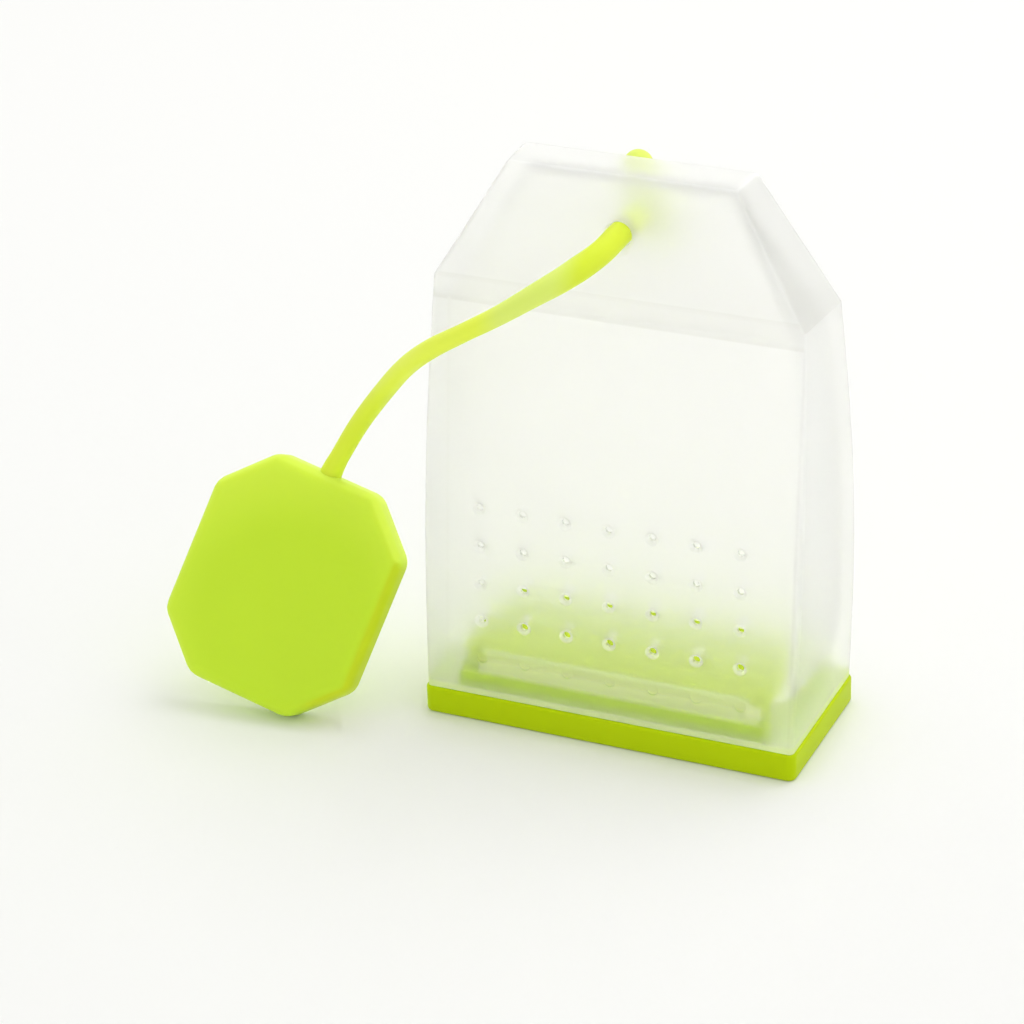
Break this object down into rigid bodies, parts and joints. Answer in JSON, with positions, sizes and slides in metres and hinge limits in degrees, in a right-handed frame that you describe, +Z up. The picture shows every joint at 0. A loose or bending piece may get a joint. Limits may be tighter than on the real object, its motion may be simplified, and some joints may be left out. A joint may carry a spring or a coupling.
{
  "type": "silicone tea infuser",
  "caption": "Tea infuser in the shape of a tea bag: frosted silicone pouch with strainer holes, pull-out base plug, cord with a flat tag and a toggle.",
  "frame": {"origin": "middle of the base plug's underside", "axes": "+Z up along the bag, +Y from the front face to the back face, +X along the width"},
  "size_m": [0.0773, 0.03, 0.068],
  "materials": {
    "frosted_silicone": "frosted translucent silicone",
    "lime_silicone": "satin opaque silicone"
  },
  "bodies": {
    "plug": {"base_plug": "lime_silicone"},
    "bag": {"bag": "frosted_silicone", "cord": "lime_silicone", "tag": "lime_silicone", "cord_toggle": "lime_silicone"}
  },
  "joints": [
    {"name": "bag_pull_off", "type": "slide", "parent": "plug", "child": "bag", "axis": [0, 0, 1], "range_m": [0, 0.012]}
  ]
}
